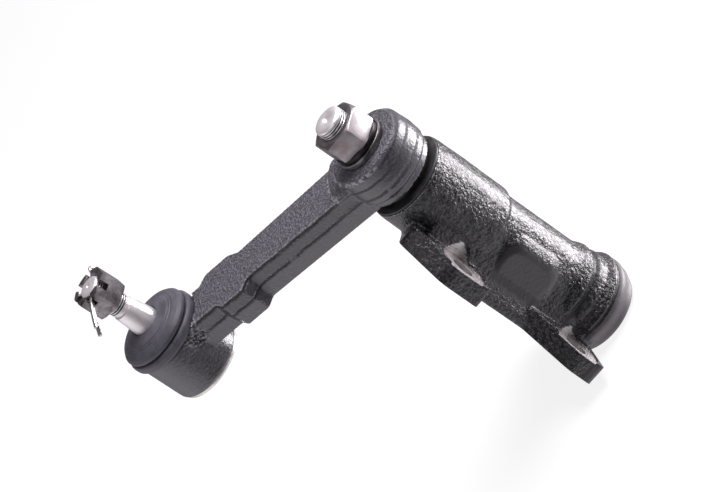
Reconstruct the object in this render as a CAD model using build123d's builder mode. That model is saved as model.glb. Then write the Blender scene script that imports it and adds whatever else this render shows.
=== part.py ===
from build123d import *
import os
from math import cos, radians, sin, sqrt, tan

os.makedirs("parts", exist_ok=True)

# Steering idler arm, in millimetres.
# The origin lies on the mounting face, midway between the frame bolts.
# +Y runs from the mounting face into the bracket, +Z along the pivot towards the arm.
# The casting's heights are measured from the mouth plane, down the tube (negative).
# The arm's and ball joint's heights are measured from the mouth plane, upwards.

# Driving dimensions: bracket
standoff = 25.6            # pivot axis above the mounting face
bolt_pitch = 86.0          # between the two near ears, along the pivot
bolt_side = 39.0           # bolt holes beside the pivot axis
bolt_hole_radius = 6.5     # clearance for a 12 mm bolt
front_overhang = 39.5      # mouth plane beyond the front bolt
rear_overhang = 18.0       # tube's rear face beyond the rear bolt
mouth_radius = 24.9
front_radius = 25.2
middle_radius = 23.2
front_ring_radius = 25.9
valley_radius = 25.3
rear_ring_radius = 28.9
rear_radius = 27.0
ear_thickness = 11.0
ear_raw_thickness = 12.2   # cast height of the ear before spot facing
spot_radius = 14.6
spot_cut_height = 11.0     # how far the cutter marks the casting above the ears
ear_reach = 50.8           # outermost side of the ears
web_reach = 31.5           # foot of the casting between the ears
flank_reach = 24.4         # side of the casting beside the tube

# Driving dimensions: pivot
shaft_radius = 12.0
bush_wall = 3.0
running_gap = 0.05         # radial running fit of shaft in bush
face_gap = 0.3             # axial gap between parts that turn on each other
eye_bottom = 6.0           # lower face of the arm's eye
eye_top = 31.5
taper_slope = 1 / 16       # radius change per millimetre of the seat in the eye
taper_radius = 9.7         # seat radius at the top of the eye
pivot_thread_radius = 9.0
pivot_nut_flats = 27.0
pivot_nut_height = 14.0
plain_washer_radius = 15.5
plain_washer_height = 3.5
spring_washer_radius = 14.3
spring_washer_height = 3.0
thread_gap = 0.05

# Driving dimensions: arm
arm_length = 167.2         # pivot axis to ball axis
rest_angle = 17.0          # arm turned from the mounting face's outward normal
eye_radius = 24.8
bar_top = 24.8
bar_bottom = 4.2
parting_height = 16.0
bar_half_root = 16.5       # half widths at the parting line
bar_half_end = 13.8
block_half = 19.8
far_block_half = 18.4
neck_half = 14.4
far_neck_half = 13.2
draft = 5.0

# Driving dimensions: ball joint
ball_height = 12.0
ball_radius = 14.5
tilt_limit = 18.0
socket_radius = 24.2
socket_bottom = -6.8
socket_shoulder = 23.0
spigot_radius = 19.4
spigot_top = 27.6
cavity_radius = 18.2
ball_gap = 0.1             # between ball, seat and socket
throat_gap = 0.4           # between the tilted stud and the socket's throat
neck_radius = 7.8          # stud just above the ball
stud_taper_radius = 8.6    # taper where it leaves the boot
stud_taper_bottom = 38.2
stud_taper_length = 15.0
stud_taper_slope = 1 / 12  # radius change per millimetre
stud_thread_radius = 7.0
castle_bottom = 62.0
castle_height = 16.0
castle_flats = 22.0
slot_width = 4.0
slot_depth = 6.0
cotter_radius = 1.45
boot_gap = 0.3
boot_ring_radius = 25.5
boot_ring_height = 5.8
cover_thickness = 2.4

# Lengths that follow from the bolts
mouth_height = front_overhang + bolt_pitch / 2
housing_length = front_overhang + bolt_pitch + rear_overhang
rear = -housing_length

# Axes and planes
pivot_axis = Axis((0, standoff, 0), (0, 0, 1))
arm_direction = Vector(-sin(radians(rest_angle)), -cos(radians(rest_angle)), 0)
arm_side = Vector(0, 0, 1).cross(arm_direction)
mouth_centre = Vector(0, standoff, mouth_height)
ball_centre = mouth_centre + arm_direction * arm_length
ball_axis = Axis(ball_centre, (0, 0, 1))
arm_plane = Plane(origin=mouth_centre, x_dir=arm_direction, z_dir=(0, 0, 1))
pivot_section = Plane(origin=mouth_centre, x_dir=(1, 0, 0), z_dir=(0, -1, 0))
ball_section = Plane(origin=ball_centre, x_dir=arm_direction, z_dir=-arm_side)
ball_plane = Plane(origin=ball_centre, x_dir=arm_direction, z_dir=(0, 0, 1))


def section(points, plane):
    """A closed face through the points of a half section: radius, then height."""
    with BuildSketch(plane) as sketch:
        with BuildLine():
            Polyline(*points, close=True)
        make_face()
    return sketch.sketch


def ring_section(inner, outer, low, high):
    """Corner points of a plain ring's half section."""
    return [(inner, low), (outer, low), (outer, high), (inner, high)]


def hexagon_radius(flats):
    return flats / sqrt(3)


# Bracket housing: a cast tube on a flanked base with three spot-faced ears
near_ear_heights = [bolt_pitch / 2, -bolt_pitch / 2]
ear_shoulders = [10.0, 1.0]          # where each near ear's slanted front meets its side
ear_front = 32.5
ear_front_side = 28.0
ear_front_slope = 13.0     # the ears' front edge runs back this far towards the tube
ear_rear = -16.2
bush_radius = shaft_radius + bush_wall
bush_length = 32.0
bush_flange = 2.0
bush_flange_radius = 18.0
mouth_recess = 6.0
recess_radius = 19.5
relief_radius = 16.2
rear_chamber_depth = 8.5    # room for washer, ring and cap behind the lower bush
lower_bush_bottom = rear + rear_chamber_depth
rear_chamber_radius = 20.0
body_front = -19.0
# Distances ahead of the tube's rear face
base_setback = 1.5
rear_ring_reach = 7.0
valley_reach = 15.7
front_ring_reach = 20.2
rings_reach = 35.5
ring_swell = 6.0           # length over which the tube swells into the front ring
step_height = -53.0
pad_reach = 26.2
pad_depth = 3.0
pad_width = 24.0
pad_length = 38.0

with BuildPart() as bracket_housing:
    with BuildSketch(pivot_section):
        with BuildLine():
            outer_line = Polyline(
                (front_ring_radius - 1.9, rear + rings_reach - ring_swell),
                (middle_radius, rear + rings_reach),
                (middle_radius, step_height - 3.5),
                (front_radius - 0.3, step_height + 1.0),
                (front_radius, -20.0),
                (mouth_radius + 0.2, -3.0),
                (mouth_radius - 0.6, 0),
                (0, 0),
                (0, rear),
                (rear_radius, rear),
            )
            rear_ring = ThreePointArc(
                outer_line @ 1,
                (rear_ring_radius, rear + rear_ring_reach),
                (valley_radius, rear + valley_reach),
            )
            ThreePointArc(
                rear_ring @ 1,
                (front_ring_radius, rear + front_ring_reach),
                outer_line @ 0,
            )
        make_face()
    revolve(axis=pivot_axis)
    # Base with sloping flanks
    with BuildSketch(Plane.XY.offset(mouth_height + body_front)):
        with BuildLine():
            Polyline(
                (-web_reach, 0),
                (web_reach, 0),
                (web_reach, 5),
                (flank_reach + 2.2, 12),
                (flank_reach, 21),
                (flank_reach - 1.2, standoff + 4),
                (1.2 - flank_reach, standoff + 4),
                (-flank_reach, 21),
                (-flank_reach - 2.2, 12),
                (-web_reach, 5),
                close=True,
            )
        make_face()
    extrude(amount=rear + base_setback - body_front)
    # Raised pad on the near side, between the ears
    with BuildSketch(Plane.YZ.offset(flank_reach - pad_depth)):
        with Locations((standoff - 2.5, 2)):
            RectangleRounded(pad_width, pad_length, pad_width / 2 - 1)
    extrude(amount=pad_reach - flank_reach + pad_depth, taper=12)
    # Near ears
    for height, shoulder in zip(near_ear_heights, ear_shoulders):
        front_corner = (ear_front_side, height + ear_front)
        shoulder_corner = (ear_reach - 1, height + shoulder)
        rear_corner = (ear_reach, height + ear_rear)
        with BuildSketch(Plane.XZ):
            with BuildLine():
                Polyline(
                    (0, height + ear_front - ear_front_slope),
                    front_corner,
                    shoulder_corner,
                    rear_corner,
                    (0, height + ear_rear),
                    close=True,
                )
            make_face()
            fillet(vertices().sort_by_distance(shoulder_corner)[0], radius=15)
            fillet(vertices().sort_by_distance(front_corner)[0], radius=5)
            fillet(vertices().sort_by_distance(rear_corner)[0], radius=2.5)
        extrude(amount=-ear_raw_thickness)
    # Far ear, alone and midway
    far_ear = [(0, 28), (-ear_front_side, 24), (-ear_reach, 10)]
    with BuildSketch(Plane.XZ):
        with BuildLine():
            Polyline(*far_ear, *[(side, -height) for side, height in reversed(far_ear)], close=True)
        make_face()
        fillet(vertices().sort_by(Axis.X)[:2], radius=8)
    extrude(amount=-ear_raw_thickness)
    # Everything is milled off level with the mounting face
    with BuildSketch(Plane.XZ):
        Rectangle(4 * ear_reach, 3 * housing_length)
    extrude(amount=standoff, mode=Mode.SUBTRACT)
    # Spot faces and bolt holes
    ear_places = [(bolt_side, height) for height in near_ear_heights] + [(-bolt_side, 0)]
    with BuildSketch(Plane.XZ.offset(-ear_thickness)):
        with Locations(*ear_places):
            Circle(spot_radius)
    extrude(amount=-spot_cut_height, mode=Mode.SUBTRACT)
    with BuildSketch(Plane.XZ):
        with Locations(*ear_places):
            Circle(bolt_hole_radius)
    extrude(amount=-standoff, mode=Mode.SUBTRACT)
    # Bore: seal recess, two bush seats with a relief between, and the rear chamber
    bore_points = [
        (0, 1),
        (recess_radius, 1),
        (recess_radius, -mouth_recess),
        (bush_radius, -mouth_recess),
        (bush_radius, -mouth_recess - bush_length),
        (relief_radius, -mouth_recess - bush_length - 1),
        (relief_radius, lower_bush_bottom + bush_length + 1),
        (bush_radius, lower_bush_bottom + bush_length),
        (bush_radius, lower_bush_bottom),
        (rear_chamber_radius, lower_bush_bottom),
        (rear_chamber_radius, rear - 1),
        (0, rear - 1),
    ]
    revolve(section(bore_points, pivot_section), axis=pivot_axis, mode=Mode.SUBTRACT)
bracket_housing.part.label = "bracket_housing"
export_step(bracket_housing.part, "parts/bracket_housing.step")

# End cap: a pressed dome whose spigot fits the rear chamber
cap_depth = 5.0
cap_radius = 25.5
cap_wall = 2.4
cap_rounding = 3.4
spigot_depth = 5.0
cap_inner = rear - cap_depth + cap_wall

with BuildPart() as end_cap:
    with BuildSketch(pivot_section):
        with BuildLine():
            cap_line = Polyline(
                (cap_radius - cap_rounding, rear - cap_depth),
                (0, rear - cap_depth - 0.6),
                (0, cap_inner),
                (rear_chamber_radius - cap_wall, cap_inner),
                (rear_chamber_radius - cap_wall, rear + spigot_depth),
                (rear_chamber_radius, rear + spigot_depth),
                (rear_chamber_radius, rear),
                (cap_radius, rear),
                (cap_radius, rear - cap_depth + cap_rounding),
            )
            RadiusArc(cap_line @ 1, cap_line @ 0, cap_rounding)
        make_face()
    revolve(axis=pivot_axis)
end_cap.part.label = "end_cap"
export_step(end_cap.part, "parts/end_cap.step")

# Bushes pressed into the housing
upper_bush_bottom = -mouth_recess - bush_length
with BuildPart() as upper_bush:
    bush_points = [
        (shaft_radius + running_gap, upper_bush_bottom),
        (bush_radius, upper_bush_bottom),
        (bush_radius, -mouth_recess),
        (bush_flange_radius, -mouth_recess),
        (bush_flange_radius, -mouth_recess + bush_flange),
        (shaft_radius + running_gap, -mouth_recess + bush_flange),
    ]
    revolve(section(bush_points, pivot_section), axis=pivot_axis)
upper_bush.part.label = "upper_bush"
export_step(upper_bush.part, "parts/upper_bush.step")

with BuildPart() as lower_bush:
    bush_points = ring_section(shaft_radius + running_gap, bush_radius,
                               lower_bush_bottom, lower_bush_bottom + bush_length)
    revolve(section(bush_points, pivot_section), axis=pivot_axis)
lower_bush.part.label = "lower_bush"
export_step(lower_bush.part, "parts/lower_bush.step")

# Dust seal: a rubber ring in the mouth, with a flange over the mouth's rim and a ridged lip
collar_radius = 15.0
seal_flange = 1.6
lip_inner = collar_radius + face_gap
lip_height = 5.4
ridge_depth = 0.8
lip_outer = collar_radius + 3.2
lip_ridges = [
    (lip_outer - ridge_depth, 2.6),
    (lip_outer, 3.1),
    (lip_outer - ridge_depth, 3.7),
    (lip_outer, 4.2),
    (lip_outer - 1.5 * ridge_depth, lip_height),
]
with BuildPart() as dust_seal:
    seal_points = [
        (lip_inner, -3.6),
        (recess_radius, -3.6),
        (recess_radius, 0),
        (mouth_radius - 0.7, 0),
        (mouth_radius - 1.3, seal_flange),
        (recess_radius - 0.5, seal_flange),
        *lip_ridges,
        (lip_inner, lip_height),
    ]
    revolve(section(seal_points, pivot_section), axis=pivot_axis)
dust_seal.part.label = "dust_seal"
export_step(dust_seal.part, "parts/dust_seal.step")

# Pivot shaft: journal, thrust collar, tapered seat for the arm, and thread
collar_bottom = -mouth_recess + bush_flange + face_gap
shaft_bottom = rear + 1.0
thread_end = 57.7
washer_top = eye_top + plain_washer_height
nut_bottom = washer_top + spring_washer_height
seat_bottom_radius = taper_radius + (eye_top - eye_bottom) * taper_slope
groove_top = lower_bush_bottom - 2.6
groove_height = 1.9
groove_radius = 11.0
with BuildPart() as pivot_shaft:
    shaft_points = [
        (0, shaft_bottom),
        (shaft_radius - 1, shaft_bottom),
        (shaft_radius, shaft_bottom + 1),
        (shaft_radius, groove_top - groove_height),
        (groove_radius, groove_top - groove_height),
        (groove_radius, groove_top),
        (shaft_radius, groove_top),
        (shaft_radius, collar_bottom),
        (collar_radius, collar_bottom),
        (collar_radius, eye_bottom),
        (seat_bottom_radius, eye_bottom),
        (taper_radius, eye_top),
        (pivot_thread_radius, eye_top),
        (pivot_thread_radius, thread_end - 1.6),
        (pivot_thread_radius - 1.8, thread_end),
        (2.2, thread_end),
        (0, thread_end - 1.8),
    ]
    revolve(section(shaft_points, pivot_section), axis=pivot_axis)
pivot_shaft.part.label = "pivot_shaft"
export_step(pivot_shaft.part, "parts/pivot_shaft.step")

# Thrust washer and retaining ring at the shaft's lower end
thrust_top = lower_bush_bottom - face_gap
thrust_radius = rear_chamber_radius - 3.0
with BuildPart() as thrust_washer:
    washer_points = ring_section(shaft_radius + 0.1, thrust_radius, groove_top, thrust_top)
    revolve(section(washer_points, pivot_section), axis=pivot_axis)
thrust_washer.part.label = "thrust_washer"
export_step(thrust_washer.part, "parts/thrust_washer.step")

retaining_radius = shaft_radius + 2.6
with BuildPart() as retaining_ring:
    ring_points = ring_section(groove_radius, retaining_radius, groove_top - groove_height, groove_top)
    revolve(section(ring_points, pivot_section), axis=pivot_axis)
    with BuildSketch(Plane.XY.offset(mouth_height + groove_top - groove_height)):
        with Locations((0, standoff + retaining_radius)):
            Rectangle(groove_radius / 2, 2 * (retaining_radius - groove_radius) + 1)
    extrude(amount=groove_height, mode=Mode.SUBTRACT)
retaining_ring.part.label = "retaining_ring"
export_step(retaining_ring.part, "parts/retaining_ring.step")

# Idler arm: one forging of eye, bar, stop block, neck and ball socket
near_block = (64.5, 47.5)  # start and end of the stop block, back from the ball axis
far_block = (53.5, 35.0)
block_start, block_end = (arm_length - reach for reach in near_block)
far_block_start, far_block_end = (arm_length - reach for reach in far_block)
block_ramp = 4.0           # length of the near shoulder, towards the eye
far_block_ramp = 9.0
seat_ceiling = ball_height + 8.6
step_radius = boot_ring_radius + 1.0
ramp_shift = 5.5           # the ramp reaches this much further than a round boss


def throat_at(height):
    """Radius that lets the stud tilt to its limit, at a height in the throat."""
    tilt = radians(tilt_limit)
    return stud_taper_radius / cos(tilt) + (height - ball_height) * tan(tilt) + throat_gap


with BuildPart() as idler_arm:
    # Bar, drafted both ways from the parting line
    bar_start = eye_radius / 2
    bar_outline = [
        (bar_start, -bar_half_root),
        (far_block_start - far_block_ramp, -bar_half_end),
        (far_block_start, -far_block_half),
        (far_block_end, -far_block_half),
        (far_block_end + far_block_half - far_neck_half, -far_neck_half),
        (arm_length, -far_neck_half),
        (arm_length, neck_half),
        (block_end + block_half - neck_half, neck_half),
        (block_end, block_half),
        (block_start, block_half),
        (block_start - block_ramp, bar_half_end),
        (bar_start, bar_half_root),
    ]
    for face_height in (bar_top, bar_bottom):
        with BuildSketch(arm_plane.offset(parting_height)):
            with BuildLine():
                Polyline(*bar_outline, close=True)
            make_face()
        with BuildSketch(arm_plane.offset(face_height)):
            with BuildLine():
                Polyline(*bar_outline, close=True)
                offset(amount=-abs(face_height - parting_height) * tan(radians(draft)),
                       kind=Kind.INTERSECTION, mode=Mode.REPLACE)
            make_face()
        loft(ruled=True)
    # The neck steps down beside the boot, and stays above the socket's rim
    with BuildSketch(ball_plane.offset(socket_shoulder)):
        Circle(step_radius)
    extrude(amount=bar_top, mode=Mode.SUBTRACT)
    # Eye: raised boss above, stepped boss below
    eye_points = [
        (0, eye_bottom),
        (eye_radius - 2.3, eye_bottom),
        (eye_radius - 2.0, eye_bottom + 4.2),
        (eye_radius - 0.7, eye_bottom + 5),
        (eye_radius, parting_height + 2),
        (eye_radius - 0.6, eye_top - 2.6),
        (eye_radius - 2.6, eye_top),
        (0, eye_top),
    ]
    revolve(section(eye_points, pivot_section), axis=pivot_axis)
    # Ramp from the boss down to the bar
    with BuildSketch(arm_plane.offset(bar_top - 1)):
        with Locations((ramp_shift, 0)):
            Circle(eye_radius + 2)
        with Locations((eye_radius, 0)):
            Rectangle(2 * eye_radius, 2 * bar_half_root - 1, mode=Mode.INTERSECT)
    extrude(amount=eye_top - bar_top - 1, taper=38)
    # The bar's underside clears the seal and the shaft's collar
    with BuildSketch(arm_plane.offset(bar_bottom - 1)):
        Circle(recess_radius)
    extrude(amount=eye_bottom - bar_bottom + 1, mode=Mode.SUBTRACT)
    # Socket
    socket_points = [
        (0, socket_bottom),
        (socket_radius - 0.6, socket_bottom),
        (socket_radius, socket_bottom + 0.8),
        (socket_radius, socket_bottom + 3),
        (socket_radius - 0.5, socket_shoulder - 6),
        (socket_radius - 0.7, socket_shoulder - 0.6),
        (socket_radius - 1.2, socket_shoulder),
        (spigot_radius, socket_shoulder),
        (spigot_radius, spigot_top),
        (0, spigot_top),
    ]
    revolve(section(socket_points, ball_section), axis=ball_axis)
    # Cavity for cup, ball and seat, with a flared throat above
    cavity_points = [
        (0, socket_bottom - 1),
        (cavity_radius + 1.6, socket_bottom - 1),
        (cavity_radius + 1.6, socket_bottom + cover_thickness),
        (cavity_radius, socket_bottom + cover_thickness),
        (cavity_radius, seat_ceiling),
        (throat_at(seat_ceiling), seat_ceiling),
        (throat_at(spigot_top + 1), spigot_top + 1),
        (0, spigot_top + 1),
    ]
    revolve(section(cavity_points, ball_section), axis=ball_axis, mode=Mode.SUBTRACT)
    # Tapered seat for the shaft
    seat_points = [
        (0, eye_bottom - 4),
        (seat_bottom_radius + 4 * taper_slope, eye_bottom - 4),
        (taper_radius - 2 * taper_slope, eye_top + 2),
        (0, eye_top + 2),
    ]
    revolve(section(seat_points, pivot_section), axis=pivot_axis, mode=Mode.SUBTRACT)
idler_arm.part.label = "idler_arm"
export_step(idler_arm.part, "parts/idler_arm.step")

# Washers and nut that clamp the arm
with BuildPart() as plain_washer:
    washer_points = ring_section(pivot_thread_radius + 0.4, plain_washer_radius, eye_top, washer_top)
    revolve(section(washer_points, pivot_section), axis=pivot_axis)
    chamfer(plain_washer.edges().filter_by(GeomType.CIRCLE).sort_by(SortBy.RADIUS)[-2:], length=0.4)
plain_washer.part.label = "plain_washer"
export_step(plain_washer.part, "parts/plain_washer.step")

with BuildPart() as spring_washer:
    washer_points = ring_section(pivot_thread_radius + 0.5, spring_washer_radius, washer_top, nut_bottom)
    revolve(section(washer_points, pivot_section), axis=pivot_axis)
    with BuildSketch(Plane.XY.offset(mouth_height + washer_top)):
        with Locations((0, standoff + 12)):
            Rectangle(1.6, 8, rotation=20)
    extrude(amount=spring_washer_height, mode=Mode.SUBTRACT)
spring_washer.part.label = "spring_washer"
export_step(spring_washer.part, "parts/spring_washer.step")


def nut_envelope(flats, low, high, top_cut, low_cut):
    """Half section of a nut's turned outline: its corners are cut back by two cones."""
    corner = hexagon_radius(flats)
    return [
        (0, low),
        (corner - low_cut, low),
        (corner + 0.1, low + low_cut * tan(radians(30))),
        (corner + 0.1, high - top_cut * tan(radians(30))),
        (corner - top_cut, high),
        (0, high),
    ]


pivot_nut_turn = 5.0       # hexagon's corner from the arm's direction
nut_top = nut_bottom + pivot_nut_height
with BuildPart() as pivot_nut:
    with BuildSketch(arm_plane.offset(nut_bottom)):
        RegularPolygon(hexagon_radius(pivot_nut_flats), 6, rotation=pivot_nut_turn)
        Circle(pivot_thread_radius + thread_gap, mode=Mode.SUBTRACT)
    extrude(amount=pivot_nut_height)
    envelope = section(nut_envelope(pivot_nut_flats, nut_bottom, nut_top, 2.6, 1.2), pivot_section)
    revolve(envelope, axis=pivot_axis, mode=Mode.INTERSECT)
pivot_nut.part.label = "pivot_nut"
export_step(pivot_nut.part, "parts/pivot_nut.step")

# Ball stud: ball, neck, taper and thread, with a cross hole for the cotter pin
ball_top_angle = 33.0
ball_bottom_flat = 12.5
stud_end = castle_bottom + castle_height
taper_top = stud_taper_bottom + stud_taper_length
taper_top_radius = stud_taper_radius - stud_taper_length * stud_taper_slope
cotter_height = castle_bottom + castle_height - 3.2
neck_height = ball_height + sqrt(ball_radius ** 2 - neck_radius ** 2)
with BuildPart() as ball_stud:
    with BuildSketch(ball_section):
        with BuildLine():
            stud_line = Polyline(
                (neck_radius, neck_height),
                (neck_radius, neck_height + 4),
                (stud_taper_radius, neck_height + 9),
                (stud_taper_radius, stud_taper_bottom),
                (taper_top_radius, taper_top),
                (stud_thread_radius - 0.6, taper_top + 0.6),
                (stud_thread_radius - 0.6, taper_top + 1.6),
                (stud_thread_radius, taper_top + 2.2),
                (stud_thread_radius, stud_end - 1.4),
                (stud_thread_radius - 1.2, stud_end),
                (0, stud_end),
                (0, ball_height - ball_bottom_flat),
                (sqrt(ball_radius ** 2 - ball_bottom_flat ** 2), ball_height - ball_bottom_flat),
            )
            ThreePointArc(stud_line @ 1, (ball_radius, ball_height), stud_line @ 0)
        make_face()
    revolve(axis=ball_axis)
    with BuildSketch(Plane(origin=ball_centre + Vector(0, 0, cotter_height), x_dir=arm_direction,
                           z_dir=arm_side)):
        Circle(cotter_radius + 0.35)
    extrude(amount=20, both=True, mode=Mode.SUBTRACT)
ball_stud.part.label = "ball_stud"
export_step(ball_stud.part, "parts/ball_stud.step")

# Ball seat: the plastic shell above the ball
seat_drop = 2.0            # the seat's lower edge below the ball's middle
seat_low = ball_height - seat_drop
seat_high = seat_ceiling - ball_gap
seat_inner = ball_radius + ball_gap
seat_mouth = sqrt(seat_inner ** 2 - (seat_high - ball_height) ** 2)
with BuildPart() as ball_seat:
    with BuildSketch(ball_section):
        with BuildLine():
            seat_line = Polyline(
                (seat_mouth, seat_high),
                (cavity_radius - ball_gap, seat_high),
                (cavity_radius - ball_gap, seat_low),
                (sqrt(seat_inner ** 2 - seat_drop ** 2), seat_low),
            )
            ThreePointArc(seat_line @ 1, (seat_inner, ball_height), seat_line @ 0)
        make_face()
    revolve(axis=ball_axis)
ball_seat.part.label = "ball_seat"
export_step(ball_seat.part, "parts/ball_seat.step")

# Pressure cup under the ball, and the dished spring that presses it up
cup_top = seat_low - face_gap
cup_lift = 4.6             # cup above the socket's lower face
cup_bottom = socket_bottom + cup_lift
cup_opening = 9.0
cavity_floor = socket_bottom + cover_thickness
cup_rim = sqrt(seat_inner ** 2 - (cup_top - ball_height) ** 2)
cup_low = ball_height - sqrt(seat_inner ** 2 - cup_opening ** 2)
with BuildPart() as pressure_cup:
    with BuildSketch(ball_section):
        with BuildLine():
            cup_line = Polyline(
                (cup_rim, cup_top),
                (cavity_radius, cup_top),
                (cavity_radius, cup_bottom),
                (cup_opening, cup_bottom),
                (cup_opening, cup_low),
            )
            RadiusArc(cup_line @ 1, cup_line @ 0, -seat_inner)
        make_face()
    revolve(axis=ball_axis)
pressure_cup.part.label = "pressure_cup"
export_step(pressure_cup.part, "parts/pressure_cup.step")

spring_inner = 9.6
spring_outer = cavity_radius - 0.6
spring_wall = 1.1
with BuildPart() as preload_spring:
    spring_points = [
        (spring_inner, cup_bottom - spring_wall),
        (spring_inner, cup_bottom),
        (spring_inner + 1, cup_bottom),
        (spring_outer, cavity_floor + spring_wall),
        (spring_outer, cavity_floor),
        (spring_outer - 1, cavity_floor),
    ]
    revolve(section(spring_points, ball_section), axis=ball_axis)
preload_spring.part.label = "preload_spring"
export_step(preload_spring.part, "parts/preload_spring.step")

# Socket cover: a pressed lid in the socket's lower rim
cover_rim_radius = 23.2
cover_rim_height = 2.4
cover_dish_radius = 13.0
cover_dish_depth = 1.2
cover_low = socket_bottom - cover_rim_height
with BuildPart() as socket_cover:
    cover_points = [
        (0, cavity_floor),
        (cavity_radius + 1.6, cavity_floor),
        (cavity_radius + 1.6, socket_bottom),
        (cover_rim_radius, socket_bottom),
        (cover_rim_radius, cover_low + 0.9),
        (cover_rim_radius - 0.9, cover_low),
        (cover_dish_radius + 2, cover_low),
        (cover_dish_radius, cover_low + cover_dish_depth),
        (0, cover_low + cover_dish_depth),
    ]
    revolve(section(cover_points, ball_section), axis=ball_axis)
socket_cover.part.label = "socket_cover"
export_step(socket_cover.part, "parts/socket_cover.step")

# Boot ring: clamps the boot's foot to the socket's spigot
boot_wall = 2.0
ring_inner = spigot_radius + boot_wall + 2 * boot_gap
ring_top = socket_shoulder + boot_ring_height
with BuildPart() as boot_ring:
    ring_points = [
        (ring_inner, socket_shoulder),
        (boot_ring_radius - 0.8, socket_shoulder),
        (boot_ring_radius, socket_shoulder + 1.6),
        (boot_ring_radius, ring_top - 1.6),
        (boot_ring_radius - 1.0, ring_top),
        (ring_inner, ring_top),
    ]
    revolve(section(ring_points, ball_section), axis=ball_axis)
boot_ring.part.label = "boot_ring"
export_step(boot_ring.part, "parts/boot_ring.step")

# Dust boot: foot inside the ring, a low fold, a moulded step and a lip around the stud
foot_inner = spigot_radius + boot_gap
foot_outer = foot_inner + boot_wall
fold_bottom = ring_top + boot_gap
lip_radius = stud_taper_radius + boot_gap
with BuildPart() as dust_boot:
    with BuildSketch(ball_section):
        with BuildLine():
            boot_inside = Polyline(
                (lip_radius + 0.9, stud_taper_bottom),
                (lip_radius, stud_taper_bottom - 0.7),
                (lip_radius, stud_taper_bottom - 3.2),
                (14.5, stud_taper_bottom - 4.0),
                (19.0, stud_taper_bottom - 5.6),
                (foot_inner, fold_bottom + 1.2),
                (foot_inner, socket_shoulder + boot_gap),
                (foot_outer, socket_shoulder + boot_gap),
                (foot_outer, fold_bottom),
                (foot_outer + 1.6, fold_bottom),
            )
            fold = ThreePointArc(
                boot_inside @ 1,
                (24.3, fold_bottom + 2.0),
                (22.4, stud_taper_bottom - 4.2),
            )
            boot_top = Line(fold @ 1, (16.8, stud_taper_bottom - 2.1))
            boot_step = Line(boot_top @ 1, (16.2, stud_taper_bottom - 1.6))
            ThreePointArc(
                boot_step @ 1,
                (13.0, stud_taper_bottom - 0.7),
                boot_inside @ 0,
            )
        make_face()
    revolve(axis=ball_axis)
dust_boot.part.label = "dust_boot"
export_step(dust_boot.part, "parts/dust_boot.step")

# Castle nut: six slots, one pair in line with the cotter hole
with BuildPart() as castle_nut:
    with BuildSketch(ball_plane.offset(castle_bottom)):
        RegularPolygon(hexagon_radius(castle_flats), 6)
        Circle(stud_thread_radius + thread_gap, mode=Mode.SUBTRACT)
    extrude(amount=castle_height)
    envelope = section(nut_envelope(castle_flats, castle_bottom, stud_end, 1.2, 1.2), ball_section)
    revolve(envelope, axis=ball_axis, mode=Mode.INTERSECT)
    with BuildSketch(ball_plane.offset(stud_end)):
        for slot_angle in (30, 90, 150):
            Rectangle(2 * castle_flats, slot_width, rotation=slot_angle)
    extrude(amount=-slot_depth, mode=Mode.SUBTRACT)
castle_nut.part.label = "castle_nut"
export_step(castle_nut.part, "parts/castle_nut.step")

# Cotter pin: an eye and two half-round legs, as supplied, with the legs hardly spread
eye_distance = 14.6
eye_ring_radius = 2.3
eye_wire_radius = 0.9
leg_start = -eye_distance + eye_ring_radius
leg_lengths = (36.0, 31.0)
leg_spreads = (-3.2, 1.2)
bend_place = 13.0
cotter_plane = Plane(origin=ball_centre + Vector(0, 0, cotter_height), x_dir=arm_side, z_dir=-arm_direction)
with BuildPart() as cotter_pin:
    for length, spread in zip(leg_lengths, leg_spreads):
        with BuildLine(cotter_plane) as leg_line:
            FilletPolyline((leg_start, 0), (bend_place, 0), (length, spread), radius=12)
        with BuildSketch(Plane(origin=leg_line.line @ 0, x_dir=arm_direction, z_dir=arm_side)):
            Circle(cotter_radius)
            with Locations((0, cotter_radius if spread < 0 else -cotter_radius)):
                Rectangle(4 * cotter_radius, 2 * cotter_radius, mode=Mode.SUBTRACT)
        sweep(path=leg_line.line)
    with Locations(Plane(origin=ball_centre + Vector(0, 0, cotter_height) - arm_side * eye_distance,
                         z_dir=arm_direction)):
        Torus(eye_ring_radius, eye_wire_radius)
cotter_pin.part.label = "cotter_pin"
export_step(cotter_pin.part, "parts/cotter_pin.step")
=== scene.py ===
import math

import bmesh
import bpy
import numpy as np
from mathutils import Matrix, Vector


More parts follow.
